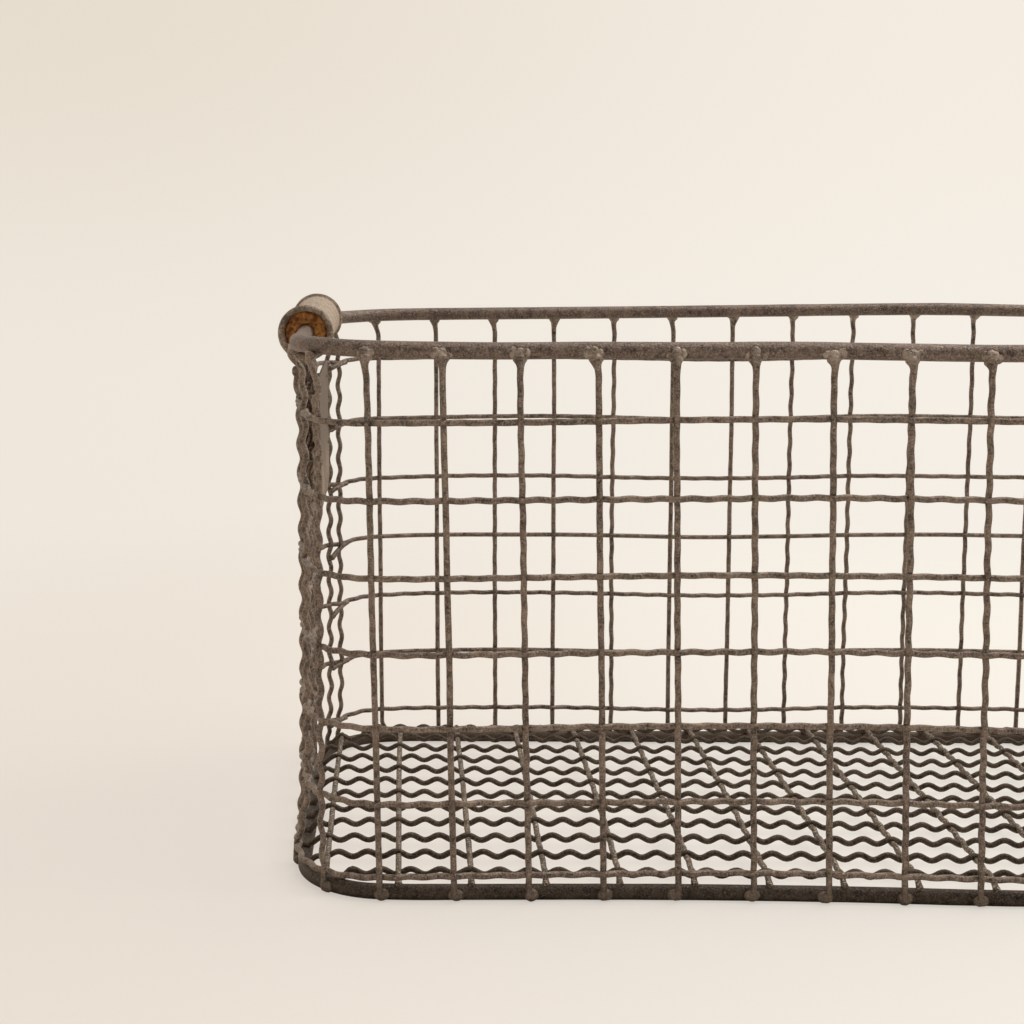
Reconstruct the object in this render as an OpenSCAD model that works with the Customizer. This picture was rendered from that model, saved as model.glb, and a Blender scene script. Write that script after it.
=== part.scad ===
// Wire locker basket: a wire mesh basket on a heavy rim rod and base ring, with a steel
// grip that turns on the rim rod at each short end and a blank number plate on the left end.
// X runs along the basket, Y across it and Z up. The origin is on the ground under its centre.

/* [Basket] */
// Length over the upright wires' centrelines
mesh_length = 331; // [290:1:380]
// Depth over the upright wires' centrelines
mesh_depth = 203; // [190:1:240]
// Corner radius in plan, to the upright wires' centrelines
corner_radius = 30; // [24:0.5:34]
// Height to the top of the rim rod
basket_height = 191.5; // [170:0.5:230]

/* [Wall mesh] */
// Diameter of the mesh wire
wire_d = 2.1; // [1.6:0.1:2.2]
// Spacing that the upright wires are laid out to
upright_pitch = 25.4; // [22:0.2:30]
// Number of hoops round the wall
hoop_count = 7; // [6:1:9]
// Height of the lowest hoop's centreline
lowest_hoop_z = 11.3; // [10.6:0.1:14]
// Drop from the rim rod's centre to the top hoop's
top_hoop_drop = 23.2; // [18:0.1:28]
// Distance from the mesh's seam upright to the corner upright beside it
seam_pitch = 8; // [6:0.5:12]
// Gap left between wires that cross or lie against each other
wire_gap = 0.05; // [0.02:0.01:0.08]

/* [Rim rod and base ring] */
// Diameter of the rim rod
rim_d = 5.6; // [4.5:0.1:6.5]
// Diameter of the base ring
ring_d = 5; // [4.4:0.1:5.2]
// Diameter of the weld nugget that holds an upright's end
nugget_d = 4.6; // [3.5:0.1:5.4]
// Thickness of a weld nugget
nugget_t = 1.7; // [1:0.1:2]
// Height of the uprights' lower ends above the ground
foot_gap = 0.3; // [0.2:0.1:0.8]
// How far an upright's top end stands above the rim rod's centre
upright_rise = 0.8; // [0.2:0.1:1.5]

/* [Floor mesh] */
// Number of wires that run along the floor
long_wire_count = 12; // [10:1:14]
// How far the outermost long wires lie inside the base ring's centreline
long_wire_margin = 6; // [4:0.5:16]
// Number of wires that run across the floor
cross_wire_count = 13; // [11:1:15]
// How far the outermost cross wires would lie inside the base ring's centreline if centred
cross_wire_margin = 9.5; // [8:0.5:16]
// Shift of the cross wires to the left of the floor's centre
cross_wire_shift = 1.8; // [0:0.1:5]
// How far a floor wire's end passes the centreline of the ring that it lies on
floor_wire_overhang = 1.4; // [0.5:0.1:1.5]

/* [Grips] */
// Length of a grip tube
grip_length = 85; // [80:1:116]
// Outside diameter of a grip tube
grip_d = 17.4; // [14:0.1:19]
// Wall of a grip tube
grip_wall = 1.2; // [0.8:0.1:2]
// Thickness of the rolled bead at each end of a grip tube
bead_d = 2.2; // [1.8:0.1:3]
// How far a bead stands out from the tube's outside
bead_rise = 1.2; // [1:0.1:1.8]
// Length of the bush in each end of a grip tube
bush_length = 5; // [3:0.5:10]
// Depth of a bush's face inside the tube's mouth
bush_recess = 4; // [2:0.5:10]
// Radial running clearance between a bush and the rim rod
bush_clearance = 0.08; // [0.05:0.01:0.1]
// Radial gap between a bush and the tube that it sits in
bush_seat_gap = 0.02; // [0.01:0.01:0.05]
// Gap between the top of an upright under a grip and the grip's beads
short_upright_gap = 0.6; // [0.4:0.1:4]

/* [Number plate] */
// Width of the blank number plate, along the end wall
plate_width = 66; // [62:1:74]
// Height of the number plate
plate_height = 48; // [42:1:54]
// Thickness of the number plate
plate_t = 0.8; // [0.6:0.1:1.2]
// Corner radius of the number plate
plate_corner = 6; // [2:0.5:8]
// Height of the plate's top edge above the top hoop's centreline
plate_rise = 7; // [3:0.1:7.5]
// Gap between the hoops and the plate, which the lugs bridge
plate_standoff = 4.6; // [1:0.1:5]
// Width of the lugs that fold round the top two hoops
lug_width = 7; // [5:0.5:9]

/* [Hidden] */
wire_r = wire_d / 2;
rim_r = rim_d / 2;
ring_r = ring_d / 2;
crossing = wire_d + wire_gap;
rim_z = basket_height - rim_r;
top_hoop_z = rim_z - top_hoop_drop;
hoop_pitch = (top_hoop_z - lowest_hoop_z) / (hoop_count - 1);
upright_top_z = rim_z + upright_rise;
short_upright_top_z = rim_z - grip_d / 2 - bead_rise - short_upright_gap;
foot_nugget_z = foot_gap + nugget_d / 2;
full_nugget_heights = [foot_nugget_z, upright_top_z - nugget_d / 2];

// How far inside the uprights' centrelines each closed loop runs
rim_inset = rim_r + wire_r + wire_gap;
ring_inset = ring_r + wire_r + wire_gap;
hoop_inset = crossing;

// The uprights' path from the middle of the front to the middle of an end
front_run = mesh_length / 2 - corner_radius;
corner_run = corner_radius * PI / 2;
end_run = mesh_depth / 2 - corner_radius;
quarter_path = front_run + corner_run + end_run;
quarter_count = round(quarter_path / upright_pitch);
upright_step = quarter_path / quarter_count;

// Where on that path the front's uprights end, and where those under a grip begin
front_limit = front_run + corner_run / 3;
grip_limit = quarter_path - grip_length / 2 - wire_d;

// The mesh band's seam stands in the back left corner, just past the corner's first upright
seam_place = upright_places(front_limit, grip_limit)[0] + seam_pitch;

// The floor's cross wires lie on the base ring, and its long wires on the cross wires
cross_wire_z = ring_d + wire_r + wire_gap;
long_wire_z = cross_wire_z + crossing;
cross_wire_half_span = mesh_length / 2 - ring_inset - cross_wire_margin;
long_wire_half_span = mesh_depth / 2 - ring_inset - long_wire_margin;
cross_wire_pitch = 2 * cross_wire_half_span / (cross_wire_count - 1);
long_wire_pitch = 2 * long_wire_half_span / (long_wire_count - 1);

// The grips turn on the rim rod's straight ends
grip_axis_x = mesh_length / 2 - rim_inset;
grip_bore_r = grip_d / 2 - grip_wall;
bead_r = bead_d / 2;
bead_centre_r = grip_d / 2 + bead_rise - bead_r;

// The number plate bears on the inside of the hoops, with its lugs midway between uprights
hoop_x = -(mesh_length / 2 - hoop_inset);
plate_x = hoop_x + wire_r + wire_gap + plate_standoff;
plate_z = top_hoop_z + plate_rise - plate_height;
lug_r = wire_r + wire_gap + plate_t;

function hoop_z(i) = lowest_hoop_z + (i - 1) * hoop_pitch;

// Angle turned round the front right corner at a distance s along the uprights' path
function corner_angle(s) = max(0, min(90, (s - front_run) / corner_run * 90));
function path_point(s) =
    s < front_run ? [s, -mesh_depth / 2]
    : s > front_run + corner_run ? [mesh_length / 2, s - quarter_path]
    : [front_run, -end_run] + corner_radius * [sin(corner_angle(s)), -cos(corner_angle(s))];
function upright_places(low, high) =
    [for (k = [0:quarter_count - 1]) let (s = (k + 0.5) * upright_step) if (s > low && s <= high) s];

// Half the length of a floor wire that lies t from the floor's middle, between straight runs
// of half length side_run beside it and far_run ahead of it
function floor_wire_half(t, side_run, far_run) =
    let (bend = corner_radius - ring_inset + floor_wire_overhang, past = max(0, abs(t) - side_run))
    far_run + sqrt(bend * bend - past * past);

// A closed rod bent to a rounded rectangle, inset from the uprights' centrelines
module rounded_loop(inset, r, z) {
    bend = corner_radius - inset;
    translate([0, 0, z]) for (end = [0, 180]) rotate([0, 0, end]) {
        translate([-front_run, -end_run - bend, 0]) rotate([0, 90, 0])
            cylinder(h = 2 * front_run, r = r, $fn = 32);
        translate([front_run + bend, end_run, 0]) rotate([90, 0, 0])
            cylinder(h = 2 * end_run, r = r, $fn = 32);
        translate([front_run, end_run, 0])
            rotate_extrude(angle = 90, $fn = 96) translate([bend, 0]) circle(r = r, $fn = 32);
        translate([-front_run, end_run, 0]) rotate([0, 0, 90])
            rotate_extrude(angle = 90, $fn = 96) translate([bend, 0]) circle(r = r, $fn = 32);
    }
}

// An upright wire, and the nuggets that weld its ends to the outside of the ring and the rod
module upright(s, top_z, nugget_heights) {
    translate(path_point(s)) rotate([0, 0, corner_angle(s) - 90]) {
        translate([0, 0, foot_gap]) cylinder(h = top_z - foot_gap, r = wire_r, $fn = 24);
        for (z = nugget_heights) translate([-wire_r, 0, z]) rotate([0, 90, 0])
            cylinder(h = nugget_t, r = nugget_d / 2, $fn = 32);
    }
}

// Uprights between two places on the path, mirrored from the front right to the sides asked for
module uprights(low, high, flip_x, flip_y, top_z, nugget_heights) {
    color([0.35, 0.32, 0.29])
        for (x = flip_x, y = flip_y) mirror([x, 0, 0]) mirror([0, y, 0])
            for (s = upright_places(low, high)) upright(s, top_z, nugget_heights);
}

module full_uprights(low, high, flip_x, flip_y) {
    uprights(low, high, flip_x, flip_y, upright_top_z, full_nugget_heights);
}

module short_uprights(flip_x) {
    uprights(grip_limit, quarter_path, [flip_x], [0, 1], short_upright_top_z, [foot_nugget_z]);
}

module seam_upright() {
    color([0.35, 0.32, 0.29]) rotate([0, 0, 180])
        upright(seam_place, upright_top_z, full_nugget_heights);
}

module rim_rod() { color([0.38, 0.35, 0.31]) rounded_loop(rim_inset, rim_r, rim_z); }
module base_ring() { color([0.33, 0.3, 0.27]) rounded_loop(ring_inset, ring_r, ring_r); }
module wall_hoop(i) { color([0.35, 0.32, 0.29]) rounded_loop(hoop_inset, wire_r, hoop_z(i)); }

module floor_long_wire(i) {
    y = (i - 1) * long_wire_pitch - long_wire_half_span;
    half = floor_wire_half(y, end_run, front_run);
    color([0.27, 0.24, 0.22]) translate([-half, y, long_wire_z]) rotate([0, 90, 0])
        cylinder(h = 2 * half, r = wire_r, $fn = 24);
}

module floor_cross_wire(i) {
    x = (i - 1) * cross_wire_pitch - cross_wire_half_span - cross_wire_shift;
    half = floor_wire_half(x, front_run, end_run);
    color([0.45, 0.41, 0.36]) translate([x, half, cross_wire_z]) rotate([90, 0, 0])
        cylinder(h = 2 * half, r = wire_r, $fn = 24);
}

// A thin steel tube with a bead rolled outwards at each end; side is -1 for the left end
module grip_tube(side) {
    color([0.56, 0.52, 0.46]) translate([side * grip_axis_x, 0, rim_z]) rotate([90, 0, 0])
        rotate_extrude($fn = 64) {
            translate([grip_bore_r, bead_r - grip_length / 2])
                square([grip_wall, grip_length - bead_d]);
            for (end = [-1, 1])
                translate([bead_centre_r, end * (grip_length / 2 - bead_r)]) circle(r = bead_r, $fn = 32);
        }
}

// A bush in the grip's mouth; end is -1 for the front one
module grip_bush(side, end) {
    y = end * (grip_length / 2 - bush_recess - bush_length / 2);
    color([0.55, 0.33, 0.16]) translate([side * grip_axis_x, y, rim_z]) rotate([90, 0, 0]) difference() {
        cylinder(h = bush_length, r = grip_bore_r - bush_seat_gap, center = true, $fn = 64);
        cylinder(h = bush_length + 1, r = rim_r + bush_clearance, center = true, $fn = 64);
    }
}

module plate_outline() {
    for (y = [-1, 1], z = [plate_corner, plate_height - plate_corner])
        translate([y * (plate_width / 2 - plate_corner), z]) circle(r = plate_corner, $fn = 48);
    translate([-plate_width / 2, plate_corner]) square([plate_width, plate_height - 2 * plate_corner]);
    translate([plate_corner - plate_width / 2, 0]) square([plate_width - 2 * plate_corner, plate_height]);
}

// The blank plate, with lugs that reach out to the top two hoops and fold round them
module number_plate() {
    color([0.5, 0.45, 0.39]) difference() {
        union() {
            translate([plate_x, 0, plate_z]) rotate([90, 0, 90])
                linear_extrude(height = plate_t) plate_outline();
            for (y = [-1, 1], i = [hoop_count - 1, hoop_count])
                translate([hoop_x, y * upright_step, hoop_z(i)]) {
                    rotate([90, 0, 0]) cylinder(h = lug_width, r = lug_r, center = true, $fn = 48);
                    translate([0, -lug_width / 2, lug_r - plate_t])
                        cube([plate_x - hoop_x + plate_t / 2, lug_width, plate_t]);
                }
        }
        for (i = [hoop_count - 1, hoop_count]) translate([hoop_x, 0, hoop_z(i)]) rotate([90, 0, 0])
            cylinder(h = plate_width + 1, r = wire_r + wire_gap, center = true, $fn = 48);
    }
}

rim_rod();
base_ring();
for (i = [1:hoop_count]) wall_hoop(i);
full_uprights(0, front_limit, [0, 1], [0]);  // front_uprights
full_uprights(0, front_limit, [0, 1], [1]);  // back_uprights
full_uprights(front_limit, grip_limit, [1], [0]);  // front_left_uprights
full_uprights(front_limit, grip_limit, [0], [0]);  // front_right_uprights
full_uprights(front_limit, grip_limit, [1], [1]);  // back_left_uprights
seam_upright();  // back_left_uprights
full_uprights(front_limit, grip_limit, [0], [1]);  // back_right_uprights
short_uprights(1);  // left_short_uprights
short_uprights(0);  // right_short_uprights
for (i = [1:long_wire_count]) floor_long_wire(i);
for (i = [1:cross_wire_count]) floor_cross_wire(i);
grip_tube(-1);  // left_grip_tube
grip_bush(-1, -1);  // left_front_bush
grip_bush(-1, 1);  // left_back_bush
grip_tube(1);  // right_grip_tube
grip_bush(1, -1);  // right_front_bush
grip_bush(1, 1);  // right_back_bush
number_plate();
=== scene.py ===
import math
import random
import bpy
import bmesh
from mathutils import Matrix, Vector, noise


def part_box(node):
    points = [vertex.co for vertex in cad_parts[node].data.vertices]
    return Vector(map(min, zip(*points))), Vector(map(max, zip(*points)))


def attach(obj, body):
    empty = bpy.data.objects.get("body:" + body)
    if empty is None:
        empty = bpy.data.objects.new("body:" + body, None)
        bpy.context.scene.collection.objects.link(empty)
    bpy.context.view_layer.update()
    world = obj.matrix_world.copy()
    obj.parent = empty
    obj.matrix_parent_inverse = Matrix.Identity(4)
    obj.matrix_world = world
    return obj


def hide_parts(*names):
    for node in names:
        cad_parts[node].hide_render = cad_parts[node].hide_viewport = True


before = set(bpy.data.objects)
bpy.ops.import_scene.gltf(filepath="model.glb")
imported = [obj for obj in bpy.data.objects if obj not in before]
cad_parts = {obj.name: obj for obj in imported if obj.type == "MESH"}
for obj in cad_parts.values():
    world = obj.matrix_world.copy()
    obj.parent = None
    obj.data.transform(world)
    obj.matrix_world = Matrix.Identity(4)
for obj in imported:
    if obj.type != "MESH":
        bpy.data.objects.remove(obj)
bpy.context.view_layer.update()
scene = bpy.context.scene
rng = random.Random(11)
mm = 0.001
print("frame loaded:", len(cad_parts), "nodes")


# the camera is fitted to the photograph's front and back walls
camera = {
    "place": Vector((-122.4, -733.9, 236.6)) * mm,
    "downDegrees": 9.19,
    "turnDegrees": 0.42,
    "rollDegrees": 0.11,
    "focalPixels": 1952,
    "framePixels": 1024,
    "centreX": 401.6,
}


def makeCamera():
    data = bpy.data.cameras.new("camera")
    data.sensor_width = 36
    data.lens = data.sensor_width * camera["focalPixels"] / camera["framePixels"]
    data.shift_x = 0.5 - camera["centreX"] / camera["framePixels"]
    data.clip_start = 0.01
    data.clip_end = 60
    obj = bpy.data.objects.new("camera", data)
    scene.collection.objects.link(obj)
    turn = Matrix.Rotation(math.radians(camera["turnDegrees"]), 4, "Z")
    down = Matrix.Rotation(math.radians(90 - camera["downDegrees"]), 4, "X")
    roll = Matrix.Rotation(math.radians(camera["rollDegrees"]), 4, "Z")
    obj.matrix_world = Matrix.Translation(camera["place"]) @ turn @ down @ roll
    scene.camera = obj


makeCamera()
print("camera placed")


# shader maths: an expression on values adds its Math nodes
class Value:
    def __init__(self, tree, socket):
        self.tree = tree
        self.socket = socket

    def maths(self, operation, *terms):
        node = self.tree.nodes.new("ShaderNodeMath")
        node.operation = operation
        for socket, term in zip(node.inputs, terms):
            feed(self.tree, socket, term)
        return Value(self.tree, node.outputs[0])

    def __add__(self, other):
        return self.maths("ADD", self, other)

    def __sub__(self, other):
        return self.maths("SUBTRACT", self, other)

    def __mul__(self, other):
        return self.maths("MULTIPLY", self, other)

    def __radd__(self, other):
        return self.maths("ADD", other, self)

    def __rsub__(self, other):
        return self.maths("SUBTRACT", other, self)

    def __rmul__(self, other):
        return self.maths("MULTIPLY", other, self)


def feed(tree, socket, term):
    if isinstance(term, Value):
        tree.links.new(term.socket, socket)
    else:
        socket.default_value = term


class Shader:
    def __init__(self, owner, coordinates="Object"):
        self.owner = owner
        owner.use_nodes = True
        self.tree = owner.node_tree
        self.tree.nodes.clear()
        self.place = self.add("TexCoord", {}, coordinates, {})

    def add(self, kind, settings, out, inputs):
        node = self.tree.nodes.new("ShaderNode" + kind)
        stops = settings.pop("stops", None)
        for key, value in settings.items():
            setattr(node, key, value)
        if stops:
            ramp = node.color_ramp.elements
            while len(ramp) < len(stops):
                ramp.new(0.5)
            for element, (position, level) in zip(ramp, stops):
                element.position = position
                element.color = (level, level, level, 1)
        for key, term in inputs.items():
            feed(self.tree, node.inputs[key], term)
        return None if out is None else Value(self.tree, node.outputs[out])

    def grain(self, scale, detail, low, high, offset=(0, 0, 0)):  # noise, stretched to run from 0 to 1
        place = self.add("Mapping", {}, "Vector", {"Vector": self.place, "Location": offset})
        level = self.add("TexNoise", {}, 0, {"Vector": place, "Scale": scale, "Detail": detail})
        return self.add("ValToRGB", {"stops": [(low, 0), (high, 1)]}, "Color", {"Fac": level})

    def blend(self, mask, first, second):
        return self.add("Mix", {"data_type": "RGBA"}, 2, {0: mask, 6: first, 7: second})

    def axis(self, letter):
        return self.add("SeparateXYZ", {}, letter, {"Vector": self.place})

    def ramp(self, value, start, end, low=0.0, high=1.0):
        return self.add("MapRange", {"interpolation_type": "SMOOTHSTEP"}, 0, {
            "Value": value, "From Min": start, "From Max": end, "To Min": low, "To Max": high})

    def finish(self, colour, roughness, metallic, height, bump):
        normal = self.add("Bump", {}, 0, {"Height": height, "Strength": bump[0], "Distance": bump[1]})
        surface = self.add("BsdfPrincipled", {}, 0, {
            "Base Color": colour, "Roughness": roughness, "Metallic": metallic, "Normal": normal})
        self.add("OutputMaterial", {}, None, {"Surface": surface})
        return self.owner


def colour(r, g, b):  # a colour as seen on the screen, 0 to 255
    def linear(c):
        c /= 255
        return c / 12.92 if c <= 0.04045 else ((c + 0.055) / 1.055) ** 2.4
    return (linear(r), linear(g), linear(b), 1)


# sizes that the pieces share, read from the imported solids
def middle(name):
    low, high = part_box(name)
    return (low + high) / 2


rimLow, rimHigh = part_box("rim_rod")
ringLow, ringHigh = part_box("base_ring")
shortLow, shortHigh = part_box("left_short_uprights")
wireR = (shortHigh.x - shortLow.x) / 2
rimR = (rimHigh.z - rimLow.z) / 2
ringR = (ringHigh.z - ringLow.z) / 2
rimZ = middle("rim_rod").z
ringZ = middle("base_ring").z
halfL = -shortLow.x - wireR
halfD = -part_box("front_uprights")[0].y - wireR
rimInset = halfL - (rimHigh.x - rimR)
ringInset = halfL - (ringHigh.x - ringR)
hoopNames = sorted(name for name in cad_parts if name.startswith("wall_hoop_"))
hoopZ = [middle(name).z for name in hoopNames]
hoopPitch = (hoopZ[-1] - hoopZ[0]) / (len(hoopZ) - 1)
gripLow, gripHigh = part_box("left_grip_tube")


# the wires' finishes: dark zinc, finely mottled, with worn pale specks and a little rust
finishes = {
    "rim_steel": {"dark": colour(60, 49, 44), "mid": colour(154, 136, 125), "pale": colour(204, 189, 178),
                  "paleFrom": 0.57, "rust": colour(108, 82, 66), "rough": (0.34, 0.56), "offset": (0.3, 0.1, 0)},
    "base_steel": {"dark": colour(28, 23, 19), "mid": colour(104, 91, 80), "pale": colour(164, 148, 132),
                   "paleFrom": 0.58, "rust": colour(80, 62, 50), "rough": (0.4, 0.62), "offset": (0.1, 0.7, 0),
                   # the last colour is a painted sheen for the back of the ring
                   "backSheen": colour(118, 103, 91)},
    "wall_wire": {"dark": colour(58, 48, 42), "mid": colour(172, 154, 140), "pale": colour(218, 203, 190),
                  "paleFrom": 0.57, "rust": colour(112, 84, 66), "rough": (0.34, 0.54), "offset": (0, 0, 0)},
    "floor_wire": {"dark": colour(40, 32, 27), "mid": colour(110, 95, 82), "pale": colour(166, 149, 131),
                   "paleFrom": 0.59, "rust": colour(86, 62, 47), "rough": (0.38, 0.58), "offset": (0.2, 0, 0.4)},
    "cross_wire": {"dark": colour(50, 42, 36), "mid": colour(136, 120, 106), "pale": colour(214, 198, 180),
                   "paleFrom": 0.53, "rust": colour(100, 77, 59), "rough": (0.4, 0.62), "offset": (0.6, 0, 0)},
}


def ironMaterial(name):
    look = finishes[name]
    shader = Shader(bpy.data.materials.new(name))
    speckle = shader.grain(1650, 3, 0.38, 0.62, look["offset"])
    mottle = shader.grain(360, 4, 0.38, 0.62, look["offset"])
    patch = shader.grain(48, 4, 0.4, 0.62, look["offset"])
    fleck = shader.grain(1300, 3, look["paleFrom"], look["paleFrom"] + 0.12, look["offset"])
    stain = shader.grain(70, 4, 0.6, 0.74, (0.5, 0.5, 0.5))
    shade = shader.blend(speckle * 0.45 + mottle * 0.38 + patch * 0.17, look["dark"], look["mid"])
    shade = shader.blend(fleck * (0.8 if name == "cross_wire" else 0.35), shade, look["pale"])
    shade = shader.blend(stain * 0.3, shade, look["rust"])
    if name == "wall_wire":  # the welds on the rim rod are painted pale, a painted highlight; the feet as dark as the ring
        height = shader.axis("Z")
        paintedWeldHighlight = shader.ramp(height, rimZ - 2.2 * rimR, rimZ - 0.7 * rimR)
        shade = shader.blend(paintedWeldHighlight * (0.08 + 0.4 * mottle), shade, look["pale"])
        shade = shader.blend(shader.ramp(height, 9 * mm, 4.5 * mm) * 0.5, shade, finishes["base_steel"]["mid"])
    if name == "base_steel":  # the ring is painted lighter at the back, a painted sheen
        shade = shader.blend(shader.ramp(shader.axis("Y"), -0.3 * halfD, 0.9 * halfD) * 0.5, shade,
                             look["backSheen"])
    low, high = look["rough"]
    roughness = low + (high - low) * mottle
    return shader.finish(shade, roughness, 0.6, speckle * 0.6 + mottle * 0.4, (0.85, 0.22 * mm))


grip = {
    "sand": colour(216, 197, 176),
    "grey": colour(136, 119, 104),
    "dark": colour(96, 82, 70),
    "rustDark": colour(112, 58, 26),
    "rustLight": colour(255, 182, 104),
    "wall": 1.2 * mm,
    "rise": 1.2 * mm,
    "flareLength": 5 * mm,
    "bushClearance": 0.08 * mm,
    "spinSteps": 96,
}
grip["lipR"] = (gripHigh.x - gripLow.x) / 2
grip["bodyR"] = grip["lipR"] - grip["rise"]
grip["boreR"] = grip["bodyR"] - grip["wall"]
grip["beadR"] = 1.1 * mm
grip["beadCentreR"] = grip["lipR"] - grip["beadR"]
grip["half"] = gripHigh.y


def zincMaterial():
    shader = Shader(bpy.data.materials.new("grip_zinc"))
    speckle = shader.grain(1500, 3, 0.4, 0.6)
    cloud = shader.grain(160, 4, 0.38, 0.66)
    y = shader.axis("Y")
    ends = shader.ramp(y.maths("ABSOLUTE", y), grip["half"] - 4.5 * mm, grip["half"] - 1.2 * mm)
    shade = shader.blend(speckle, grip["grey"], grip["sand"])
    shade = shader.blend(cloud * 0.25, shade, grip["grey"])
    shade = shader.blend(ends * (0.25 + 0.5 * cloud), shade, grip["dark"])
    return shader.finish(shade, 0.6 + 0.2 * cloud, 0.1, speckle, (0.7, 0.15 * mm))


def rustMaterial():
    shader = Shader(bpy.data.materials.new("rusty_bush"))
    crust = shader.grain(700, 5, 0.36, 0.64)
    cloud = shader.grain(200, 3, 0.4, 0.6, (0.2, 0.4, 0))
    shade = shader.blend(0.15 + 0.85 * crust, grip["rustDark"], grip["rustLight"])
    shade = shader.blend(cloud * 0.3, shade, grip["rustDark"])
    return shader.finish(shade, 0.85 - 0.1 * crust, 0, crust, (0.9, 0.25 * mm))


plate = {
    "brown": colour(76, 61, 51),
    "sand": colour(172, 149, 128),
    "thick": 0.8 * mm,
    "cornerR": 6 * mm,
    "cuts": 12,
    "warp": 0.35 * mm,
    "lugT": 0.7 * mm,
    "lugW": 7 * mm,
    "eyeletR": 1.4 * mm,
    "eyeletBoreR": 0.45 * mm,
    "eyeletZ": 146.7 * mm,
}


def plateMaterial():
    shader = Shader(bpy.data.materials.new("plate_steel"))
    speckle = shader.grain(900, 4, 0.42, 0.6)
    mottle = shader.grain(300, 5, 0.38, 0.62)
    patch = shader.grain(60, 4, 0.46, 0.6, (0.1, 0.3, 0.2))
    low = shader.ramp(shader.axis("Z"), 146 * mm, 134 * mm, 0.15, 0.9)
    shade = shader.blend(mottle * 0.35, plate["brown"], plate["sand"])
    shade = shader.blend(low * (0.3 + 0.7 * speckle) * (0.4 + 0.6 * patch), shade, plate["sand"])
    return shader.finish(shade, 0.5 + 0.25 * mottle, 0.2, mottle, (0.5, 0.1 * mm))


materials = {name: ironMaterial(name) for name in finishes}
materials["grip_zinc"] = zincMaterial()
materials["rusty_bush"] = rustMaterial()
materials["plate_steel"] = plateMaterial()
print("materials made:", len(materials))


mesh = {
    "cornerR": 30 * mm,
    "uprightCount": 40,
    "crimpsPerCell": 5,
    "uprightCrimp": 0.6 * mm,
    "hoopCrimp": 0.55 * mm,
    "hoopRipple": 0.1 * mm,
    "meanInset": 0.9 * mm,
    "pointsPerCrimp": 5,
    "wander": 0.3 * mm,
    "seamPitch": 8 * mm,
}

frontRun = halfL - mesh["cornerR"]
endRun = halfD - mesh["cornerR"]
arcRun = mesh["cornerR"] * math.pi / 2
wallRun = 4 * (frontRun + endRun + arcRun)
step = wallRun / mesh["uprightCount"]

# how the old basket has gone out of true; a row of numbers runs from the left end to the right
bend = {
    "leanFront": [5.4, 5.3, 5.2, 5.3, 5.3, 5.1, 4.75, 4.4, 4.3, 4.8, 5.2],
    "leanBack": [2.2, 2.2, 2.1, 2.0, 1.95, 1.9, 1.85, 1.75, 1.7, 1.8, 1.8],
    "frontShift": [0.3, 0.35, 0.22, 0.1, 0.12, 0.35, 0.42, 0.5, 0.45, 0.2, 0],
    "backShift": [0.6, 0.5, -0.05, -0.25, -0.1, -0.3, -0.25, 0.05, 0.35, 0.4, 0],
    "bowLeft": 1.3 * mm,
    "bowRight": 1.2 * mm,
    "bowTurns": 0.86,
    "slackRim": (0, 4.5 * mm),       # how far the left corners are drawn in, front and back
    "slackWall": (6.2 * mm, 6.5 * mm),
    "slackRing": (2.2 * mm, 4.5 * mm),
    "slackReach": 38.6 * mm,
    "slackEndReach": (60 * mm, 30 * mm),       # the mesh's reach along the end wall, front and back
    "swell": 1.3 * mm,       # the rim rod bulges outwards where its front left corner starts
    "swellReach": 12 * mm,
    "frontFoot": [0, 0, 0.6, 1.2, 1.3, 0.6, -0.7, -2.9, -3.8, -2.2, 0],
    "hoopFrontTop": [-3.5, -2.25, -1.9, -1.3, -0.9, -0.55, -0.65, -0.95, -1.65, -2.5, -3.4],
    "hoopFrontFoot": [-4.4, -2.6, -1.9, -1.5, -1.1, -0.7, -0.9, -1.3, -1.6, -2.5, -3.4],
    "hoopBack": [3.4, 2.9, 3.5, 3.6, 3.0, 2.5, 2.9, 3.9, 4.0, 3.5, 3.4],
    "hoopFront": [-0.15, -0.5, -0.08, -0.31, -0.18, -0.08, 0.19],       # one for each hoop, lowest first
    "rimFront": [-0.5, -1.35, -1.8, -1.55, -1.6, -1.4, -1.85, -2.3, -2.1, -1.5, 0],
    "rimBack": [-2.4, -1.7, -1.25, -0.9, -0.5, -0.05, 0.45, 0.95, 1.2, 0.6, 0],
    "gripClear": (44 * mm, 66 * mm),       # the rim rod is true up to the first and fully bent past the second
    "floorFront": [1.6, 2.2, 2.25, 2.35, 2.15, 1.8, 1.1, 0.65, 0.3, 0.1, 0],
    "floorBack": [1.8, 2.2, 1.4, 1.05, 1.0, 0.9, 0.7, 0.4, 0.2, 0, 0],
}


def wallPoint(s, inset):  # a point on the true wall in plan, and the way out of the basket there
    half = wallRun / 2
    u = (s + frontRun) % wallRun
    sign = -1 if u >= half else 1
    u %= half
    r = mesh["cornerR"]
    if u < 2 * frontRun:
        base, out = Vector((u - frontRun, -halfD, 0)), Vector((0, -1, 0))
    elif u < 2 * frontRun + arcRun:
        turn = (u - 2 * frontRun) / r
        out = Vector((math.sin(turn), -math.cos(turn), 0))
        base = Vector((frontRun, -endRun, 0)) + r * out
    elif u < 2 * frontRun + arcRun + 2 * endRun:
        base, out = Vector((halfL, u - 2 * frontRun - arcRun - endRun, 0)), Vector((1, 0, 0))
    else:
        turn = (u - 2 * frontRun - arcRun - 2 * endRun) / r
        out = Vector((math.cos(turn), math.sin(turn), 0))
        base = Vector((frontRun, endRun, 0)) + r * out
    return sign * (base - inset * out), sign * out


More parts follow.
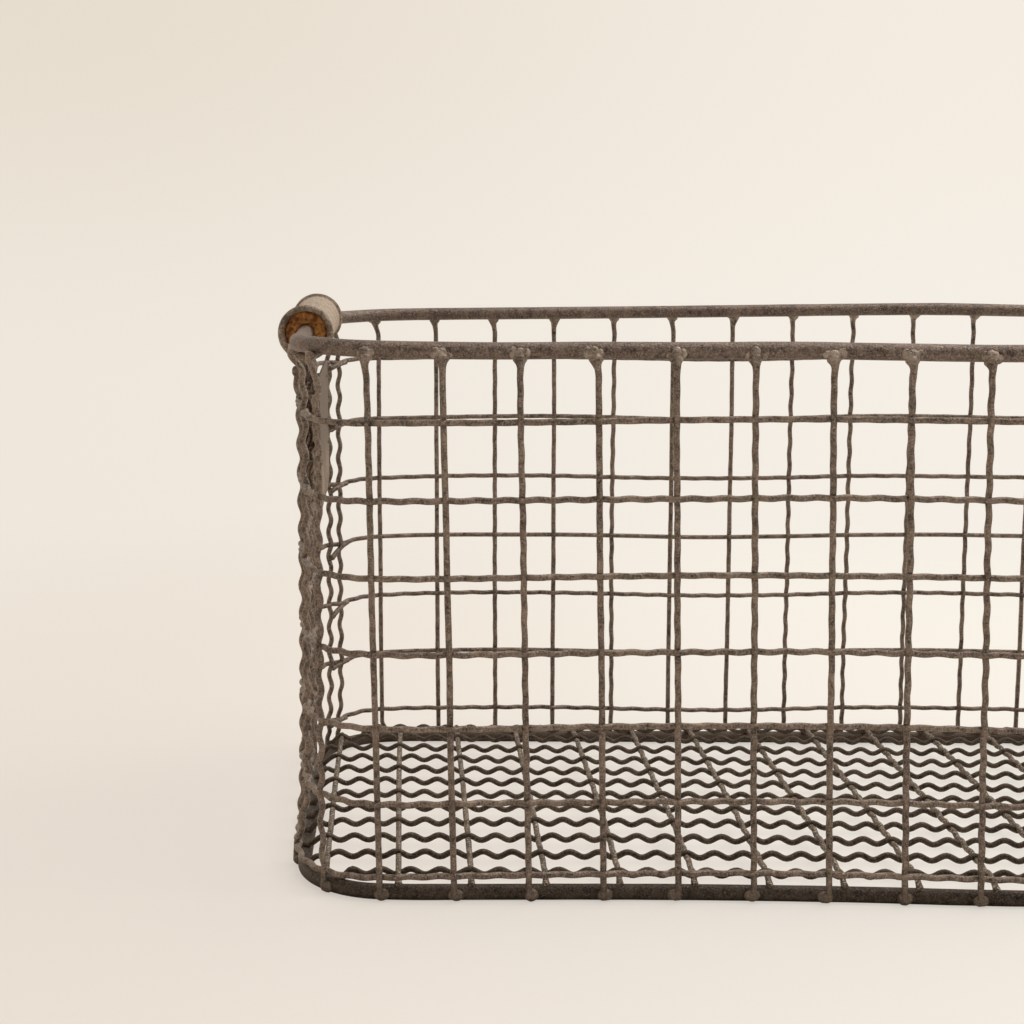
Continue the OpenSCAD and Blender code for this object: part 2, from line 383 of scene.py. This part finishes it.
def along(row, x):  # a smooth line through a row of numbers in mm
    place = min(len(row) - 1.001, max(0, (x / halfL + 1) / 2 * (len(row) - 1)))
    n = int(place)
    t = place - n
    before, start, end, after = (row[min(len(row) - 1, max(0, m))] for m in range(n - 1, n + 3))
    curve = (2 * start + (end - before) * t + (2 * before - 5 * start + 4 * end - after) * t * t
             + (3 * start - before - 3 * end + after) * t ** 3)
    return curve / 2 * mm


def backShare(place):  # 0 at the front wall, 1 at the back
    return (1 + place.y / halfD) / 2


def leftDistance(s):  # along the wall from the middle of the left end
    return abs((s - wallRun / 4) % wallRun - wallRun / 2)


def slack(s, place, ofMesh):  # 1 in the middle of a left corner, 0 beyond its reach
    apart = leftDistance(s) - endRun - arcRun / 2
    reach = bend["slackReach"]
    if apart < 0:
        reach += (bend["slackEndReach"][0 if place.y < 0 else 1] - reach) * ofMesh
    return max(0, 1 - (apart / reach) ** 2) ** 2


def pastGrip(place):  # 0 within the grips, 1 where the rod is free
    return ease(abs(place.y), *bend["gripClear"])


def bentWall(s, z, inset):  # the same point on the leaning, bowed and slack wall
    place, out = wallPoint(s, 0)
    back = backShare(place)
    high = z / rimZ
    rim, wall, ring = (front + (rear - front) * back
                       for front, rear in (bend["slackRim"], bend["slackWall"], bend["slackRing"]))
    atRim = ease(z, rimZ - 14 * mm, rimZ - 3 * mm)
    drawn = ring + (wall - ring) * ease(z, 2 * mm, 30 * mm)
    drawn += (rim * pastGrip(place) - drawn) * atRim
    lean = (1 - back) * along(bend["leanFront"], place.x) + back * along(bend["leanBack"], place.x)
    shift = (1 - back) * along(bend["frontShift"], place.x) + back * along(bend["backShift"], place.x)
    s -= (lean * (1 - high) + shift) * out.y
    loose = slack(s, place, ease(z, 2 * mm, 30 * mm) * (1 - atRim))
    past = (leftDistance(s) - endRun - 2 * mm) / bend["swellReach"]
    swell = bend["swell"] * (1 - back) * math.exp(-past * past) * atRim
    place, out = wallPoint(s, inset + drawn * loose - swell)
    depth = bend["bowLeft"] if out.x < 0 else bend["bowRight"]
    bow = depth * out.x ** 2 * math.sin(bend["bowTurns"] * math.pi * (1 - high)) * ease(z, 3 * mm, 30 * mm)
    bow *= 1 - loose
    push = (1 - back) * (1 - high) * along(bend["frontFoot"], place.x)
    return place - bow * out + Vector((0, push, z)), out


def hoopLift(place, z):
    back = backShare(place)
    high = z / rimZ
    front = high * along(bend["hoopFrontTop"], place.x) + (1 - high) * along(bend["hoopFrontFoot"], place.x)
    return (1 - back) * front + back * along(bend["hoopBack"], place.x)


def rimLift(place):
    back = backShare(place)
    lift = (1 - back) * along(bend["rimFront"], place.x) + back * along(bend["rimBack"], place.x)
    return lift * pastGrip(place)


def ease(value, low, high):
    t = min(1, max(0, (value - low) / (high - low)))
    return t * t * (3 - 2 * t)


def drift(value, seed, reach):  # a slow wander that is the same on every run
    return reach * noise.noise(Vector((value, seed * 7.31, 0.5)))


# wires are curves with a round bevel, made into meshes
def wireMesh(name, runs, r, sides, closed=False):
    curve = bpy.data.curves.new(name, "CURVE")
    curve.dimensions = "3D"
    curve.bevel_depth = r
    curve.bevel_resolution = (sides - 4) // 2
    curve.use_fill_caps = True
    for run in runs:
        spline = curve.splines.new("POLY")
        spline.points.add(len(run) - 1)
        for point, (place, fat) in zip(spline.points, run):
            point.co = (*place, 1)
            point.radius = fat
        spline.use_cyclic_u = closed
        spline.use_smooth = True
    holder = bpy.data.objects.new(name, curve)
    scene.collection.objects.link(holder)
    made = bpy.data.meshes.new_from_object(holder.evaluated_get(bpy.context.evaluated_depsgraph_get()))
    bpy.data.objects.remove(holder)
    bpy.data.curves.remove(curve)
    return made


def makePiece(name, bm, material, body, nodes):
    data = bpy.data.meshes.new(name)
    for face in bm.faces:
        face.smooth = True
    bm.to_mesh(data)
    bm.free()
    data.materials.append(materials[material])
    obj = bpy.data.objects.new(name, data)
    scene.collection.objects.link(obj)
    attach(obj, body)
    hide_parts(*nodes)
    return obj


def addMesh(bm, data):
    bm.from_mesh(data)
    bpy.data.meshes.remove(data)


def addLump(bm, place, out, size, rounds=2):  # a rough pebble of metal; size is along, out and up
    spin = Matrix.Rotation(math.atan2(out.y, out.x) + math.pi / 2, 4, "Z")
    made = bmesh.ops.create_icosphere(bm, subdivisions=rounds, radius=1)
    seed = rng.uniform(0, 50)
    for vert in made["verts"]:
        vert.co *= 1 - 0.2 * abs(noise.noise(vert.co * 1.5 + Vector((seed, 0, 0))))
    bmesh.ops.transform(bm, verts=made["verts"], matrix=Matrix.Translation(place) @ spin @ Matrix.Diagonal((*size, 1)))


# uprights: crimped, woven through the hoops and mashed on to the rod and the ring
weld = {
    "reach": 3.0 * mm,          # how far a top goes up the rod from its underside
    "flare": 1.25,
    "flareLength": 1.1 * mm,
    "sink": 1.9 * mm,           # inset of a top's centre on the rod
    "bump": (1.7 * mm, 0.65 * mm, 1.9 * mm),
    "nugget": (2.3 * mm, 0.9 * mm, 2.3 * mm),
    "noBump": 33,       # this one is welded to the far side of the bulge
    "knob": (2.9 * mm, 1.7 * mm, 2.3 * mm),
    "footInset": 0.35 * mm,
    "midKicks": {33: -2.3 * mm, 26: 0.7 * mm},
    "knobShifts": {37: 0.6 * mm, 38: -1.3 * mm, 39: -0.5 * mm, 0: -1.3 * mm},
    "topKicks": {33: 3.6 * mm, 26: 1.6 * mm, 37: -0.5 * mm, 25: 1.3 * mm, 24: 0.5 * mm, 23: 0.4 * mm, 20: 0.6 * mm},
    "topReach": {33: 11.5 * mm},       # how far below the rod a kick starts, where it isn't the usual
    "usualTopReach": 6 * mm,
    "webs": {37: -1.6 * mm, 24: 1.1 * mm, 23: 1.3 * mm, 19: -1 * mm, 22: -0.9 * mm},
    "webDrop": 4.6 * mm,
    "webFat": (0.9, 2.2),
    "footKicks": {25: -2.6 * mm, 33: 4.3 * mm},
    "footReach": {33: 30 * mm},
    "usualFootReach": 9 * mm,
    "shortLean": {31: -1.5 * mm},       # how far a top under a grip leans in
    "endLump": (1.4 * mm, 1.3 * mm, 2.0 * mm),
}


def wireFat(place):  # the front wires are a little thicker than the back ones
    return 0.98 - 0.067 * place.y / halfD


def uprightRun(k, short):
    s = (k + 0.5) * step
    side = 1 if math.floor(k) % 2 == 0 else -1
    place, out = wallPoint(s, 0)
    thick = wireFat(place)
    foot = ringZ - ringR + 0.9 * mm
    under = shortHigh.z + min(0, hoopLift(place, shortHigh.z)) if short else rimZ - rimR + rimLift(place)
    top = under if short else under + weld["reach"] * (0.3 if k == weld["noBump"] else 1)
    crimp = hoopPitch / mesh["crimpsPerCell"]
    tilt = rng.uniform(-0.08, 0.08) * mm
    heights = []
    z = foot
    while z < top:
        heights.append(z)
        z += (0.4 if z > under - 4 * mm or z < foot + 1.2 * mm else 1) * mm
    run = []
    for i, z in enumerate(heights):
        wave = side * math.cos(math.pi * (hoopZ[-1] + hoopLift(place, z) - z) / crimp)
        footHeld = 1 - ease(z, 5 * mm, 10 * mm)
        topHeld = 0 if short else ease(z, under - 7 * mm, under - 2 * mm)
        free = 1 - footHeld - topHeld
        inset = free * (mesh["meanInset"] - wave * mesh["uprightCrimp"]) + footHeld * weld["footInset"]
        fat = thick
        sway = free * (drift(z / (40 * mm), k, mesh["wander"]) + tilt * wave)
        mid = weld["midKicks"].get(k, 0)
        footKick = weld["footKicks"].get(k, 0) - mid
        sway += mid + footKick * (1 - ease(z, 3 * mm, weld["footReach"].get(k, weld["usualFootReach"])))
        inset += weld["shortLean"].get(k, 0) * ease(z, under - 12 * mm, under)
        if not short:
            gone = ease(z, under - 2.5 * mm, under + 1.2 * mm)
            inset += gone * weld["sink"]
            kickFrom = under - weld["topReach"].get(k, weld["usualTopReach"])
            sway += (weld["topKicks"].get(k, 0) - mid) * ease(z, kickFrom, under)
            if z < under:
                fat += weld["flare"] * math.exp((z - under) / weld["flareLength"])
            else:
                fat += weld["flare"] * (1 - 0.75 * ease(z, under, top))
        spot, out = bentWall(s + sway, z, inset)
        fat *= 1 + drift(z / (4 * mm), k + 9, 0.07)
        last = min(i, len(heights) - 1 - i)
        run.append((spot, fat * min(1, 0.6 + last * 0.25)))
    return run


def addWelds(bm, k, short):
    s = (k + 0.5) * step
    place, out = wallPoint(s, 0)
    if not short:
        height = rimZ + rimLift(place)
        web = weld["webs"].get(k, 0)
        kick = weld["topKicks"].get(k, 0) + 0.6 * web
        for side in (-1, 0, 1):
            size = [part * rng.uniform(0.75, 1.15) for part in (weld["bump"] if side else weld["nugget"])]
            shift = side * rng.uniform(1.4, 2.6) * mm + kick
            drop = rng.uniform(0.3, 1.4) * mm
            inset = rimInset - math.sqrt(rimR ** 2 - drop ** 2) + (0.1 if side else -0.2) * mm
            spot, out = bentWall(s + shift, height - drop, inset)
            if k != weld["noBump"]:
                addLump(bm, spot, out, size, 3)
        if web:
            strand = []
            thin, thick = weld["webFat"]
            for n in range(8):
                t = n / 7
                spot, out = bentWall(s + web * ease(t, 0, 1), height - rimR - weld["webDrop"]
                                     + t * (weld["webDrop"] + 0.6 * rimR), weld["footInset"] + t * weld["sink"])
                strand.append((spot, thin + (thick - thin) * t * t))
            addMesh(bm, wireMesh("web", [strand], wireR, 12))
    else:
        top = shortHigh.z + min(0, hoopLift(place, shortHigh.z))
        size = [part * rng.uniform(0.8, 1.1) for part in weld["endLump"]]
        spot, out = bentWall(s, top - weld["endLump"][2], mesh["meanInset"] + weld["shortLean"].get(k, 0))
        addLump(bm, spot, out, size, 3)
    size = [part * rng.uniform(0.88, 1.05) for part in weld["knob"]]
    shift = weld["knobShifts"].get(k, rng.uniform(-0.6, 1.2) * mm) + weld["footKicks"].get(k, 0)
    spot, out = bentWall(s + shift, ringZ - rng.uniform(0.1, 0.3) * mm, ringInset - ringR - 0.1 * mm)
    addLump(bm, spot, out, size, 3)


def makeUprights(name, members):
    short = "short" in name
    bm = bmesh.new()
    addMesh(bm, wireMesh(name, [uprightRun(k, short) for k in members], wireR, 12))
    for k in members:
        addWelds(bm, k, short)
    makePiece(name + "_wire", bm, "wall_wire", "basket", [name])


def uprightsBetween(low, high):
    return [k % mesh["uprightCount"] for k in range(low, high)]


# counted round the wall from the front's middle towards the right
makeUprights("front_uprights", uprightsBetween(-6, 6))
makeUprights("front_right_uprights", uprightsBetween(6, 8))
makeUprights("right_short_uprights", uprightsBetween(8, 12))
makeUprights("back_right_uprights", uprightsBetween(12, 14))
makeUprights("back_uprights", uprightsBetween(14, 26))
makeUprights("back_left_uprights", [26, 27, 26 + mesh["seamPitch"] / step])
makeUprights("left_short_uprights", uprightsBetween(28, 32))
makeUprights("front_left_uprights", uprightsBetween(32, 34))
print("uprights woven")


# hoops: crimped loops, with their cut ends hooked down beside the seam
seam = {
    "place": 26.5 * step,
    "dip": 0.9 * mm,
    "width": 7 * mm,
    "tails": [1.2, 1.5, 4.6, 4.8, 1.8, 1.6, 1.6],       # how far each hoop's cut end hangs, lowest hoop first
    "tailRun": 7.5 * mm,
}


def makeHoop(i):
    side = 1 if (len(hoopZ) - 1 - i) % 2 == 0 else -1
    crimp = step / mesh["crimpsPerCell"]
    count = mesh["uprightCount"] * mesh["crimpsPerCell"] * mesh["pointsPerCrimp"]
    ripple = mesh["hoopRipple"] * (0 if side > 0 else 1)
    run = []
    for n in range(count):
        s = wallRun * n / count
        wave = side * math.cos(math.pi * (s / crimp - mesh["crimpsPerCell"] / 2))
        turn = 2 * math.pi * n / count
        wander = noise.noise(Vector((3 * math.cos(turn), 3 * math.sin(turn), i * 5.7))) * mesh["wander"]
        place, out = wallPoint(s, 0)
        sag = seam["dip"] * math.exp(-((s - seam["place"]) / seam["width"]) ** 2)
        z = hoopZ[i] + hoopLift(place, hoopZ[i]) + wander + ripple * wave - sag
        z += (1 - backShare(place)) * bend["hoopFront"][i] * mm
        spot, out = bentWall(s, z, mesh["meanInset"] + wave * mesh["hoopCrimp"])
        run.append((spot, wireFat(place)))
    bm = bmesh.new()
    addMesh(bm, wireMesh("hoop", [run], wireR, 12, True))
    tail = []
    for n in range(9):
        t = n / 8
        s = seam["place"] + seam["tailRun"] * (1.5 * t - 0.5)
        place, out = wallPoint(s, 0)
        z = hoopZ[i] + hoopLift(place, hoopZ[i]) - seam["dip"] - seam["tails"][i] * mm * t ** 1.5
        spot, out = bentWall(s, z, mesh["meanInset"] + 0.9 * mm)
        tail.append((spot, 0.8 + 0.3 * t))
    addMesh(bm, wireMesh("tail", [tail], wireR, 12))
    addLump(bm, tail[-1][0], out, (1.3 * mm, 1.2 * mm, 1.3 * mm))
    makePiece(hoopNames[i] + "_wire", bm, "wall_wire", "basket", [hoopNames[i]])


for index in range(len(hoopNames)):
    makeHoop(index)
print("hoops woven:", len(hoopNames))


# the rim rod and the base ring are slightly uneven round rods
rods = {
    "points": 480,
    "rough": 0.02,
    "rimNear": 1.02,
    "rimFar": 0.92,
    "swellFat": 0.08,
    "ringNear": 1.1,
    "ringFar": 0.98,
}


def rodPoints(inset, z, lift, near, far, held):  # round and true within the grips, where held
    points = []
    for n in range(rods["points"]):
        s = wallRun * n / rods["points"]
        place, out = wallPoint(s, inset)
        turn = 2 * math.pi * n / rods["points"]
        rough = noise.noise(Vector((14 * math.cos(turn), 14 * math.sin(turn), z * 50)))
        back = backShare(place)
        fat = near + (far - near) * back + rods["rough"] * rough
        if held:
            past = (leftDistance(s) - endRun - 2 * mm) / bend["swellReach"]
            fat += rods["swellFat"] * (1 - back) * math.exp(-past * past)
            fat = 1 + (fat - 1) * pastGrip(place)
        spot, out = bentWall(s, z, inset)
        points.append((spot + Vector((0, 0, lift(place))), fat))
    return points


def makeRod(name, r, points, material):
    bm = bmesh.new()
    addMesh(bm, wireMesh(name, [points], r, 28, True))
    makePiece(name + "_bar", bm, material, "basket", [name])


ringPoints = rodPoints(ringInset, ringZ, lambda place: 0, rods["ringNear"], rods["ringFar"], False)
makeRod("rim_rod", rimR, rodPoints(rimInset, rimZ, rimLift, rods["rimNear"], rods["rimFar"], True), "rim_steel")
makeRod("base_ring", ringR, ringPoints, "base_steel")
print("rim rod and base ring made")


# the floor's two sets of wires are woven through each other and end on the base ring
longNames = sorted((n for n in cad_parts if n.startswith("floor_long_wire_")), key=lambda n: middle(n).y)
crossNames = sorted((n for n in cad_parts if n.startswith("floor_cross_wire_")), key=lambda n: middle(n).x)
floor = {
    "crossFat": 1.0,
    "longCrimp": 0.95 * mm,
    "crossCrimp": 0.38 * mm,
    "longCrimps": 5,
    "crossCrimps": 3,
    "pointsPerCrimp": 5,
    "wander": 0.4 * mm,
    "overhang": 1.2 * mm,
    "restLength": 6 * mm,
    "mash": 0.7 * mm,
    "crossNear": [1.2, 0.8, 0.35, 0.3, 0.3, 0.15, 0.05, 0, 0, 0, 0],       # how far right the cross wires' ends lie
    "crossFar": [0.3, 0, -0.8, -1.1, -1.0, -1.2, -1.0, -0.3, -0.4, -0.8, 0],
    "rough": 0.06,
    "endLump": (1.45 * mm, 1.4 * mm, 1.0 * mm),
    "meanZ": (middle(longNames[0]).z + middle(crossNames[0]).z) / 2,
}


def ringEdge(axis, across, side):  # where the base ring passes a floor wire's line
    spots = (spot for spot, fat in ringPoints if spot[axis] * side > 0)
    return min(spots, key=lambda spot: abs(spot[1 - axis] - across))[axis]


def floorLift(u, v):
    share = min(1, max(0, (v + 0.4) / 0.9))
    front, back = (along(bend[row], u * halfL) for row in ("floorFront", "floorBack"))
    return (front + (back - front) * share) * (1 - v * v)


def floorRun(name, axis, firstCrossing, pitch, crimps, side, height):
    across = middle(name)
    start = ringEdge(axis, across[1 - axis], -1) - floor["overhang"]
    end = ringEdge(axis, across[1 - axis], 1) + floor["overhang"]
    crimp = pitch / crimps
    count = math.ceil((end - start) / crimp * floor["pointsPerCrimp"])
    seed = across.x * 300 + across.y * 500
    run = []
    for n in range(count + 1):
        reach = start + (end - start) * n / count
        wave = side * math.cos(math.pi * (reach - firstCrossing) / crimp)
        place = Vector((across.x, across.y, 0))
        place[axis] = reach
        place[1 - axis] += drift(reach / (60 * mm), seed, floor["wander"])
        if axis == 1:
            back = backShare(place)
            place.x += (1 - back) * along(floor["crossNear"], across.x) + back * along(floor["crossFar"], across.x)
        lift = floorLift(place.x / halfL, place.y / halfD)
        rest = 1 - ease(min(reach - start, end - reach), 1.2 * mm, floor["restLength"])
        free = floor["meanZ"] + wave * height + lift
        place.z = free + rest * (ringZ + ringR + wireR - floor["mash"] - free)
        last = min(n, count - n)
        fat = (0.8, 1.25, 1.15)[last] if last < 3 else 1 + drift(reach / (5 * mm), seed + 3, floor["rough"])
        fat *= wireFat(place) if axis == 0 else floor["crossFat"]
        run.append((place, fat))
    return run


def makeFloorWire(name, run, material):
    bm = bmesh.new()
    addMesh(bm, wireMesh("wire", [run], wireR, 12))
    for spot, fat in (run[1], run[-2]):
        size = [part * rng.uniform(0.7, 1.15) for part in floor["endLump"]]
        addLump(bm, spot + Vector((rng.uniform(-0.5, 0.5), 0, -0.35)) * mm, Vector((0, -1, 0)), size)
    makePiece(name + "_crimped", bm, material, "basket", [name])


def makeFloor():
    longPitch = middle(longNames[1]).y - middle(longNames[0]).y
    crossPitch = middle(crossNames[1]).x - middle(crossNames[0]).x
    for m, name in enumerate(longNames):
        side = 1 if m % 2 == 0 else -1
        run = floorRun(name, 0, middle(crossNames[0]).x, crossPitch, floor["longCrimps"], side, floor["longCrimp"])
        makeFloorWire(name, run, "floor_wire")
    for j, name in enumerate(crossNames):
        side = -1 if j % 2 == 0 else 1
        run = floorRun(name, 1, middle(longNames[0]).y, longPitch, floor["crossCrimps"], side, floor["crossCrimp"])
        makeFloorWire(name, run, "cross_wire")


makeFloor()
print("floor woven:", len(longNames), "by", len(crossNames))


# a profile of (radius, distance along) points, spun about the rim rod's axis
def spinProfile(points, x, closedLoop):
    bm = bmesh.new()
    verts = [bm.verts.new((x, y, rimZ + r)) for r, y in points]
    for first, second in zip(verts, verts[1:] + verts[:1] if closedLoop else verts[1:]):
        bm.edges.new((first, second))
    bmesh.ops.spin(bm, geom=bm.verts[:] + bm.edges[:], cent=(x, 0, rimZ), axis=(0, 1, 0),
                   angle=2 * math.pi, steps=grip["spinSteps"], use_merge=True)
    bmesh.ops.remove_doubles(bm, verts=bm.verts, dist=0.001 * mm)
    bmesh.ops.recalc_face_normals(bm, faces=bm.faces)
    return bm


def makeGrip(name, body, frontBush, backBush):
    x = middle(name).x
    half = grip["half"] - grip["beadR"]
    flare = half - grip["flareLength"]
    bead = []
    for i in range(13):  # from the mouth round the outside of the bead to the tube
        turn = math.pi + i * math.radians(262) / 12
        bead.append((grip["beadCentreR"] + grip["beadR"] * math.cos(turn), half - grip["beadR"] * math.sin(turn)))
    outer = [(grip["bodyR"] + 0.12 * mm, half - 2.2 * mm), (grip["bodyR"], flare + 1 * mm), (grip["bodyR"], flare)]
    inner = [(grip["boreR"], flare), (grip["boreR"], flare + 3 * mm), (grip["boreR"] + 0.06 * mm, half - 0.9 * mm)]
    far = bead + outer
    near = [(r, -y) for r, y in reversed(far)]
    belly = [(grip["bodyR"], flare * t) for t in (0.75, 0.5, 0.25, 0, -0.25, -0.5, -0.75)]
    lining = [(grip["boreR"], flare * t) for t in (-0.75, -0.5, 0, 0.5, 0.75)]
    points = far + belly + near + [(r, -y) for r, y in reversed(inner)] + lining + inner
    bm = spinProfile(points, x, True)
    for vert in bm.verts:
        arm = Vector((vert.co.x - x, 0, vert.co.z - rimZ))
        dent = 0.12 * mm * abs(noise.noise(vert.co * 160)) + 0.06 * mm * abs(noise.noise(vert.co * 500))
        if arm.length > grip["bodyR"] - 0.1 * mm:
            vert.co -= arm.normalized() * dent
    makePiece(name + "_rolled", bm, "grip_zinc", body, [name])
    for bush in (frontBush, backBush):
        low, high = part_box(bush)
        bore = rimR + grip["bushClearance"]
        rim = (high.x - low.x) / 2
        chamfer = 0.5 * mm
        dish = 0.6 * mm
        ledge = 1.2 * mm
        points = [(bore, low.y), (bore, high.y), (bore + ledge, high.y),
                  (rim - ledge, high.y - dish), (rim - chamfer, high.y - dish / 2),
                  (rim, high.y - chamfer - dish), (rim, low.y + chamfer + dish),
                  (rim - chamfer, low.y + dish / 2), (rim - ledge, low.y + dish), (bore + ledge, low.y)]
        makePiece(bush + "_ring", spinProfile(points, x, True), "rusty_bush", body, [bush])


makeGrip("left_grip_tube", "left_grip", "left_front_bush", "left_back_bush")
makeGrip("right_grip_tube", "right_grip", "right_front_bush", "right_back_bush")
print("grips spun")


# the blank number plate, with lugs curled round the top two hoops and an eyelet by its far edge
def makePlate():
    low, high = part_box("number_plate")
    face = high.x - plate["thick"]
    bm = bmesh.new()
    bmesh.ops.create_grid(bm, x_segments=1, y_segments=1, size=0.5)
    bmesh.ops.transform(bm, verts=bm.verts, matrix=Matrix.Translation((face, (low.y + high.y) / 2, (low.z + high.z) / 2))
                        @ Matrix.Rotation(math.pi / 2, 4, "Y") @ Matrix.Diagonal((high.z - low.z, high.y - low.y, 1, 1)))
    bmesh.ops.bevel(bm, geom=bm.verts[:], offset=plate["cornerR"], offset_type="OFFSET", affect="VERTICES",
                    segments=8, profile=0.5, material=-1, clamp_overlap=True)
    for n in range(1, plate["cuts"]):
        for axis, a, b in ((1, low.y, high.y), (2, low.z, high.z)):
            place = Vector((face, 0, 0))
            place[axis] = a + (b - a) * n / plate["cuts"]
            normal = Vector((0, 0, 0))
            normal[axis] = 1
            bmesh.ops.bisect_plane(bm, geom=bm.verts[:] + bm.edges[:] + bm.faces[:], plane_co=place, plane_no=normal,
                                   dist=0.001 * mm)
    bmesh.ops.solidify(bm, geom=bm.faces[:], thickness=plate["thick"])
    bmesh.ops.recalc_face_normals(bm, faces=bm.faces)
    for y in (-step, step):
        for z in hoopZ[-2:]:
            hoop = Vector((-halfL + mesh["meanInset"], y, z))
            addCurl(bm, hoop, wireR + 0.08 * mm, plate["lugT"], plate["lugW"], 300)
            made = bmesh.ops.create_cube(bm, size=1)
            tongue = Vector(((hoop.x + face) / 2, y, z + wireR + 0.08 * mm + plate["lugT"] / 2))
            bmesh.ops.transform(bm, verts=made["verts"], matrix=Matrix.Translation(tongue) @ Matrix.Diagonal(
                (face - hoop.x + plate["thick"], plate["lugW"], plate["lugT"], 1)))
    eyelet = Vector((high.x + plate["eyeletR"] * 0.6, high.y - 2.2 * mm, plate["eyeletZ"]))
    addCurl(bm, eyelet, plate["eyeletBoreR"], plate["eyeletR"] - plate["eyeletBoreR"], 4 * mm, 350)
    for vert in bm.verts:
        place, out = wallPoint(wallRun * 3 / 4 - vert.co.y, 0)
        bow = bentWall(wallRun * 3 / 4 - vert.co.y, vert.co.z, 0)[0].x - place.x
        vert.co.x += bow + plate["warp"] * noise.noise(Vector((0, vert.co.y * 30, vert.co.z * 30)))
        vert.co.z += hoopLift(place, vert.co.z)
    makePiece("number_plate_sheet", bm, "plate_steel", "basket", ["number_plate"])


def addCurl(bm, centre, boreR, thick, width, degrees):  # a strip curled about a line along Y
    corners = [bm.verts.new(centre + Vector((0, y, boreR + t)))
               for t, y in ((0, -width / 2), (thick, -width / 2), (thick, width / 2), (0, width / 2))]
    start = bm.faces.new(corners)
    before = set(bm.verts)
    bmesh.ops.spin(bm, geom=[start], cent=centre, axis=(0, 1, 0), angle=-math.radians(degrees), steps=24)
    faces = {f for v in set(bm.verts) - before | set(corners) for f in v.link_faces}
    bmesh.ops.recalc_face_normals(bm, faces=list(faces))


makePlate()
print("number plate made")


# plain pale stage: the near floor fades into the world's own colour, a little brighter to the right
stage = {
    "left": colour(239, 231, 220),
    "right": colour(246, 239, 229),
    "topLeft": colour(230, 221, 206),
    "topRight": colour(244, 236, 225),
    "floorLeft": colour(243, 234, 225),
    "floorRight": colour(253, 248, 240),
    "floorSize": 40,
    "fadeFrom": 0.28,
    "fadeTo": 0.8,
    "glow": 0.58,
    "ambient": 0.85,
    "behindCamera": 0.25,
    "key": {"place": (0.8, 0.25, 1.7), "size": 1.5, "watts": 17},
}


def makeStage():
    bm = bmesh.new()
    bmesh.ops.create_grid(bm, x_segments=1, y_segments=1, size=stage["floorSize"] / 2)
    data = bpy.data.meshes.new("floor")
    bm.to_mesh(data)
    bm.free()
    obj = bpy.data.objects.new("floor", data)
    scene.collection.objects.link(obj)
    shader = Shader(bpy.data.materials.new("pale_floor"))
    seen = shader.add("LightPath", {}, "Is Camera Ray", {})
    distance = shader.add("VectorMath", {"operation": "LENGTH"}, "Value", {0: shader.place})
    far = shader.ramp(distance, stage["fadeFrom"], stage["fadeTo"])
    tint = shader.blend(shader.ramp(shader.axis("X"), -0.3, 0.2), stage["floorLeft"], stage["floorRight"])
    matt = shader.add("BsdfDiffuse", {}, 0, {"Color": tint})
    glow = shader.add("Emission", {}, 0, {"Color": tint})
    clear = shader.add("BsdfTransparent", {}, 0, {})
    near = shader.add("MixShader", {}, 0, {0: seen * stage["glow"], 1: matt, 2: glow})
    surface = shader.add("MixShader", {}, 0, {0: seen * far, 1: near, 2: clear})
    shader.add("OutputMaterial", {}, None, {"Surface": surface})
    data.materials.append(shader.owner)


def makeWorld():
    shader = Shader(bpy.data.worlds.new("studio"), "Generated")
    across = shader.ramp(shader.axis("X"), -0.2, 0.31)
    tint = shader.blend(shader.ramp(shader.axis("Z"), -0.1, 0.1), shader.blend(across, stage["left"], stage["right"]),
                        shader.blend(across, stage["topLeft"], stage["topRight"]))
    bright = shader.ramp(shader.axis("Y"), -0.75, 0.15, stage["behindCamera"], 1.0)
    shown = shader.add("LightPath", {}, "Is Camera Ray", {})
    shown = shown.maths("MAXIMUM", shown, shader.add("LightPath", {}, "Is Transmission Ray", {}))
    mirrored = shader.add("LightPath", {}, "Is Glossy Ray", {}) * bright
    shown = shown.maths("MAXIMUM", shown, mirrored)
    level = shown + (1 - shown) * bright * stage["ambient"]
    ground = shader.add("Background", {}, 0, {"Color": tint, "Strength": level})
    shader.add("OutputWorld", {}, None, {"Surface": ground})
    scene.world = shader.owner


def makeLamp(name):
    lamp = stage[name]
    data = bpy.data.lights.new(name, "AREA")
    data.size = lamp["size"]
    data.energy = lamp["watts"]
    data.color = (1, 0.97, 0.93)
    obj = bpy.data.objects.new(name, data)
    scene.collection.objects.link(obj)
    obj.location = lamp["place"]
    obj.rotation_mode = "QUATERNION"
    obj.rotation_quaternion = (Vector((0, 0, 0.08)) - obj.location).to_track_quat("-Z", "Y")


makeStage()
makeWorld()
makeLamp("key")
scene.view_settings.view_transform = "Standard"
print("stage and lamp made")

bpy.context.view_layer.update()
